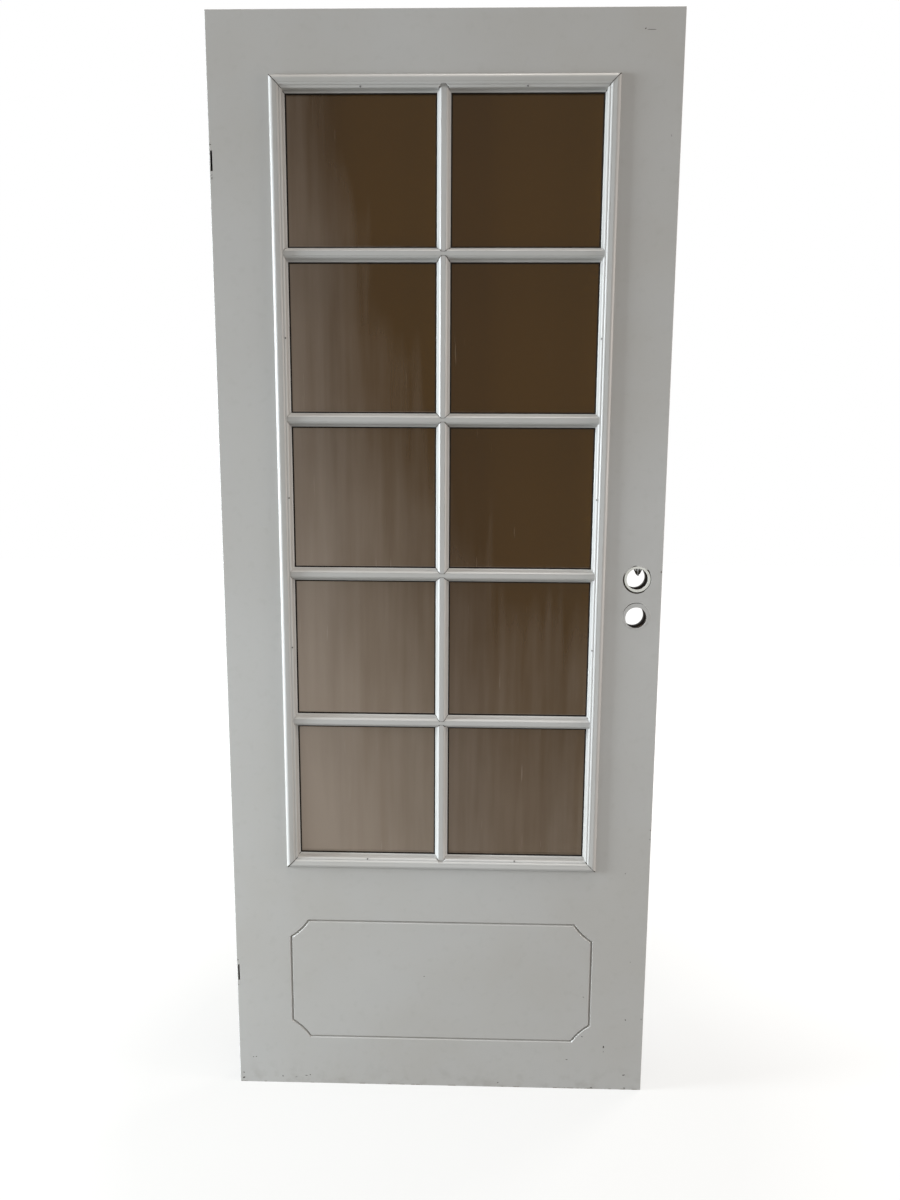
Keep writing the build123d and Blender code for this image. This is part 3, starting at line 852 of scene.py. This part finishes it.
def filler_band(level, angles, gaps):
    """A closed band round a ring at a level, filling its seat but for gaps (mm) at angles (degrees).

    Point (i, j) lies at angle i and corner j of the cross-section: inner and outer edge just
    under the face, then outer and inner edge 3 mm down.
    """
    inner = np.minimum(ring_radius + by_angle(angles, gaps), ring_seat_radius - 0.00002)
    outer = np.full(ring_sides, ring_seat_radius + 0.00005)
    radius = np.stack([inner, outer, outer, inner], axis=1)
    depth = np.broadcast_to(np.array([0.12, 0.04, 3.0, 3.0]) * millimetre, radius.shape)
    return round_ring(level, radius, depth)


handle_filler = filler_band(
    handle_level, [0, 20, 30, 42, 48, 90, 97, 108, 116, 150, 165, 180, 225, 270, 290, 310],
    [1.3, 1.3, 2.2, 2.2, 0.1, 0.1, 1.6, 1.6, 0.2, 0.5, 1.4, 2.3, 2.3, 2.3, 1.8, 1.4],
)
key_filler = filler_band(key_level, [0, 55, 75, 110, 150, 172, 200], [-0.05, 0.0, 1.0, 1.1, 0.9, 0.25, -0.05])
fillers = [handle_filler, key_filler, on_back(handle_filler), on_back(key_filler)]
bands = [(points, True, True, False) for points in fillers]
make_piece("ring_filler", bands, filler_paint)


# %% Painted shade round the handle ring's seat
def shade_rim(level, angles, widths):
    """A near-black band of painted shade in a ring's seat, widened over the seat's edge by widths (mm) at
    angles (degrees).

    It fills the gap round the ring 0.6 mm under the face and, where it is widened, comes up over the seat's
    edge.
    """
    wear_and_shade = by_angle(angles, widths)
    inner = np.full(ring_sides, ring_radius - 0.0001)
    start = np.full(ring_sides, ring_seat_radius - 0.0002)
    edge = ring_seat_radius + np.where(wear_and_shade > 0, wear_and_shade, -0.0001)
    brim = np.where(wear_and_shade > 0, -0.00003, 0.0006)
    floor_depth, foot_depth = np.full(ring_sides, 0.0006), np.full(ring_sides, 0.0012)
    radius = np.stack([inner, start, edge, edge, inner], axis=1)
    depth = np.stack([floor_depth, brim, brim, foot_depth, foot_depth], axis=1)
    return round_ring(level, radius, depth)


handle_shade_rim = shade_rim(handle_level, [150, 172, 205, 270, 290, 300], [0, 0.4, 0.9, 0.8, 0.3, 0])
shade_rim_bands = [(points, True, True, False) for points in (handle_shade_rim, on_back(handle_shade_rim))]
make_piece("seat_shade_rims", shade_rim_bands, crack_and_shade_finish)

# %% Torn fibres in the upper bore
fibre_finish, tree, shader, place, _ = new_finish("fibre_finish", Roughness=0.9, Specular_IOR_Level=0.1)
tint = ramp(tree, noise(tree, place, 400.0, 2.0), 0.35, 0.65)
fibre_colour = mix_colour(tree, tint, (0.012, 0.010, 0.008), (0.080, 0.066, 0.050))
tree.links.new(fibre_colour, shader.inputs["Base Color"])
fibre_tops = np.array([-7.6, -2.8, 2.0, 6.6]) * millimetre
fibre_feet = np.array([-3.0, -1.1, 0.8, 2.6]) * millimetre
fibre_lengths = np.array([12.5, 15.0, 14.5, 11.5]) * millimetre
fibre_x = lock_x + 2.5 * millimetre
fibre_y = -half_thickness + 0.010
fibre_z = handle_level + bore_radius
steps = np.linspace(0, 1, 6)
fibre_halves = np.interp(steps, [0, 0.7, 1], [0.0018, 0.0014, 0.0005])


def fibre(top, foot, length):
    """A fibre that tapers from the top of the bore to its foot, top and foot being places across."""
    line = np.stack([fibre_x + top + (foot - top) * steps, np.full(len(steps), fibre_y),
                     fibre_z - length * steps], axis=-1)
    return ridge(line, np.array([1.0, 0.0, 0.0]), fibre_halves, 0.0006, 0.0010)


fibres = [(fibre(*sizes), False, True, True) for sizes in zip(fibre_tops, fibre_feet, fibre_lengths)]
make_piece("bore_fibres", fibres, fibre_finish)

# %% [markdown]
# ### Chips and scratches
#
# Small knocks have taken the paint off, mostly near the foot. Each is a very low disc with an
# uneven outline, standing a twentieth of a millimetre over the face, and the point attribute
# "mark" says how much of the paint is gone.

# %% The chips
chip_finish, tree, shader, place, _ = new_finish("chip_finish", Roughness=0.8, Specular_IOR_Level=0.2)
mark = add_node(tree, "ShaderNodeAttribute", attribute_name="mark").outputs["Fac"]
specks = ramp(tree, noise(tree, place, 500.0), 0.35, 0.65)
under = mix_colour(tree, specks, (0.022, 0.019, 0.016), (0.075, 0.062, 0.050))
tree.links.new(mix_colour(tree, mark, paint_colour, under), shader.inputs["Base Color"])
chip_sides = 18


def chip(x, z, half_x, half_z, phase):
    """A low disc at (x, z) mm: its radius is half_x by half_z times 1 + 0.25 sin 2a + 0.15 sin 5a.

    Its rows of points run from the middle of the top over the rim to the middle of the underside.
    """
    turn = np.linspace(0, 2 * np.pi, chip_sides, endpoint=False)[None, :]
    uneven = 1 + 0.25 * np.sin(2 * turn + phase) + 0.15 * np.sin(5 * turn + 2 * phase)
    share = np.array([0.0, 0.75, 1.0, 0.0])[:, None]
    lift = np.array([0.05, 0.05, -0.10, -0.10])[:, None] + 0 * turn
    points = [x + half_x * share * uneven * np.cos(turn), -half_thickness / millimetre - lift,
              z + half_z * share * uneven * np.sin(turn)]
    return np.stack(points, axis=-1) * millimetre


chips = [
    # across from the hinge edge and up from the middle in mm, half width, half height, paint gone
    (757.0, 985.6, 1.4, 1.4, 0.9), (767.5, 983.8, 7.5, 0.8, 0.8), (808.1, 814.5, 0.9, 2.0, 0.5),
    (777.3, -547.7, 1.3, 1.5, 0.6), (28.3, -963.4, 1.3, 1.2, 0.8), (34.1, -962.9, 1.3, 1.3, 0.8),
    (7.4, -999.2, 1.9, 1.3, 0.9), (7.1, -1010.9, 3.2, 1.7, 1.0), (137.3, -1003.4, 2.6, 1.1, 0.8),
    (145.1, -1001.6, 1.5, 1.4, 0.9), (88.3, -1005.6, 2.4, 1.6, 0.5), (116.0, -1007.0, 3.0, 1.2, 0.4),
    (702.5, -814.7, 1.3, 1.3, 0.7), (702.2, -902.2, 1.8, 1.5, 0.8), (746.4, -924.5, 2.0, 2.5, 1.0),
    (746.7, -934.9, 0.9, 2.3, 0.5), (672.4, -954.5, 2.1, 1.3, 0.8), (788.8, -863.4, 1.7, 1.6, 0.8),
    (794.0, -736.3, 1.1, 1.1, 0.6), (789.6, -986.6, 3.0, 1.5, 0.9), (724.0, -1016.4, 2.4, 1.3, 0.9),
    (791.7, -1016.0, 2.8, 1.2, 0.8), (532.5, -1010.0, 2.0, 1.3, 0.8), (380.5, -776.0, 1.3, 1.3, 0.7),
    (2.4, 802.0, 1.7, 1.1, 1.0), (3.6, 746.0, 1.8, 2.2, 0.6), (3.4, 751.5, 1.6, 1.5, 0.5),
    (2.6, -747.5, 1.6, 1.2, 0.8), (2.6, -802.0, 1.5, 1.3, 0.7), (822.6, 52.1, 1.5, 2.0, 0.9),
    (823.0, -456.6, 1.2, 1.6, 0.7), (823.0, -475.6, 1.2, 1.4, 0.7), (820.5, -861.0, 1.3, 1.6, 0.6),
]
phase_step = 1.7
discs = [(chip(*row[:4], phase_step * i), False, True, False) for i, row in enumerate(chips)]
gone_marks = [np.full(disc[0].shape[:2], row[4]) for disc, row in zip(discs, chips)]
make_piece("paint_chips", discs, chip_finish, values=gone_marks)

# %% [markdown]
# ## Stage, lamps and camera
#
# The leaf was seen from about its middle, a little above, in cool light that grazes it from the
# hinge side and warmer light from the far side and above. Two low lamps in front make the foot as
# bright as it was, one wide and one close to the hinge-side corner, and one behind keeps the back
# from going dark. These three don't show in reflections. The floor and the world are white to
# the camera and to reflections, but dim to the light that bounces onto the leaf, so the
# background is clean and the lamps shape the mouldings. Near the leaf the floor glows a little
# less, which leaves room for a faint shadow.

# %% Floor and world
def seen_directly(tree):
    """1 for rays from the camera and ones reflected or let through, 0 for light on its way to the leaf."""
    path = add_node(tree, "ShaderNodeLightPath").outputs
    mirrored = calc(tree, "MAXIMUM", path["Is Glossy Ray"], path["Is Transmission Ray"])
    return calc(tree, "MAXIMUM", path["Is Camera Ray"], mirrored)


stage_finish = bpy.data.materials.new("stage_finish")
stage_finish.use_nodes = True
tree = stage_finish.node_tree
tree.nodes.clear()
matt = add_node(tree, "ShaderNodeBsdfDiffuse", {"Color": (0.16, 0.16, 0.155, 1.0)})
floor_place = add_node(tree, "ShaderNodeTexCoord").outputs["Object"]
from_leaf = add_node(
    tree, "ShaderNodeVectorMath", {0: floor_place, 1: (leaf_width / 2, 0.0, floor_height)},
    operation="DISTANCE",
).outputs["Value"]
brightness = calc(tree, "MULTIPLY", seen_directly(tree), ramp(tree, from_leaf, 0.6, 2.0, 0.70, 1.0))
glow = add_node(tree, "ShaderNodeEmission", {"Color": (1.0, 1.0, 1.0, 1.0), "Strength": brightness})
both = add_node(tree, "ShaderNodeAddShader", {0: matt.outputs[0], 1: glow.outputs[0]})
add_node(tree, "ShaderNodeOutputMaterial", {"Surface": both.outputs[0]})

reach = 9.0
floor_mesh = bpy.data.meshes.new("floor")
floor_mesh.from_pydata(
    [(-reach, -reach, floor_height), (reach, -reach, floor_height),
     (reach, reach, floor_height), (-reach, reach, floor_height)], [], [(0, 1, 2, 3)],
)
floor_mesh.materials.append(stage_finish)
floor = bpy.data.objects.new("floor", floor_mesh)
bpy.context.scene.collection.objects.link(floor)

world = bpy.data.worlds.new("studio")
world.use_nodes = True
bpy.context.scene.world = world
tree = world.node_tree
tree.nodes.clear()
soft = add_node(tree, "ShaderNodeBackground", {"Color": (1.0, 0.95, 0.90, 1.0), "Strength": 0.36})
white = add_node(tree, "ShaderNodeBackground", {"Color": (1.0, 1.0, 1.0, 1.0), "Strength": 1.0})
chosen = add_node(
    tree, "ShaderNodeMixShader", {0: seen_directly(tree), 1: soft.outputs[0], 2: white.outputs[0]}
)
add_node(tree, "ShaderNodeOutputWorld", {"Surface": chosen.outputs[0]})


# %% Lamps
def soft_box(name, place, aim, width, height, level, colour):
    """A rectangular lamp that lights a white surface facing it at the aim point to the given level.

    Its power is level x pi squared x distance squared.
    """
    lamp = bpy.data.lights.new(name, "AREA")
    lamp.shape = "RECTANGLE"
    lamp.size = width
    lamp.size_y = height
    lamp.color = colour
    away = Vector(aim) - Vector(place)
    lamp.energy = level * math.pi**2 * away.length_squared
    made = bpy.data.objects.new(name, lamp)
    made.location = place
    made.rotation_euler = away.to_track_quat("-Z", "Y").to_euler()
    bpy.context.scene.collection.objects.link(made)
    print(name, "power", round(lamp.energy), "W at", round(away.length, 2), "m")
    return made


leaf_middle = leaf_width / 2
soft_box("grazing_lamp", (leaf_middle - 5.0, -0.63, 0.50), (leaf_middle, 0, 0.0),
         1.2, 2.2, 2.25, (0.87, 0.95, 1.0))
soft_box("far_side_lamp", (leaf_middle + 4.5, -0.75, 0.40), (leaf_middle, 0, 0.0),
         1.2, 2.2, 0.58, (1.0, 0.92, 0.86))
soft_box("overhead_lamp", (leaf_middle + 0.6, -0.50, 6.0), (leaf_middle, 0, 0.2),
         2.0, 1.2, 0.70, (1.0, 0.96, 0.90))
low_lamps = [
    soft_box("front_lamp", (leaf_middle, -3.5, -0.40), (leaf_middle, 0, -0.4),
             3.2, 1.0, 0.19, (0.96, 1.0, 1.0)),
    soft_box("near_lamp", (-0.9, -0.9, -0.60), (0.15, 0, -0.75),
             0.8, 0.4, 0.28, (0.90, 0.98, 1.0)),
]
back_lamp = soft_box("back_lamp", (leaf_middle + 3.2, 2.6, 0.90), (leaf_middle, 0, 0.0),
                     1.4, 1.4, 0.55, (1.0, 0.97, 0.93))
for lamp in low_lamps + [back_lamp]:
    lamp.visible_glossy = False
back_lamp.visible_transmission = False

# %% Camera
camera_data = bpy.data.cameras.new("camera")
camera_data.sensor_fit = "VERTICAL"
camera_data.sensor_height = 36.0
camera_data.lens = 27.236
camera = bpy.data.objects.new("camera", camera_data)
camera.location = (0.4706, -1.7102, 0.2675)
camera.rotation_euler = tuple(math.radians(angle) for angle in (80.861, -0.319, 1.475))
bpy.context.scene.collection.objects.link(camera)
bpy.context.scene.camera = camera
bpy.context.scene.view_settings.view_transform = "Standard"
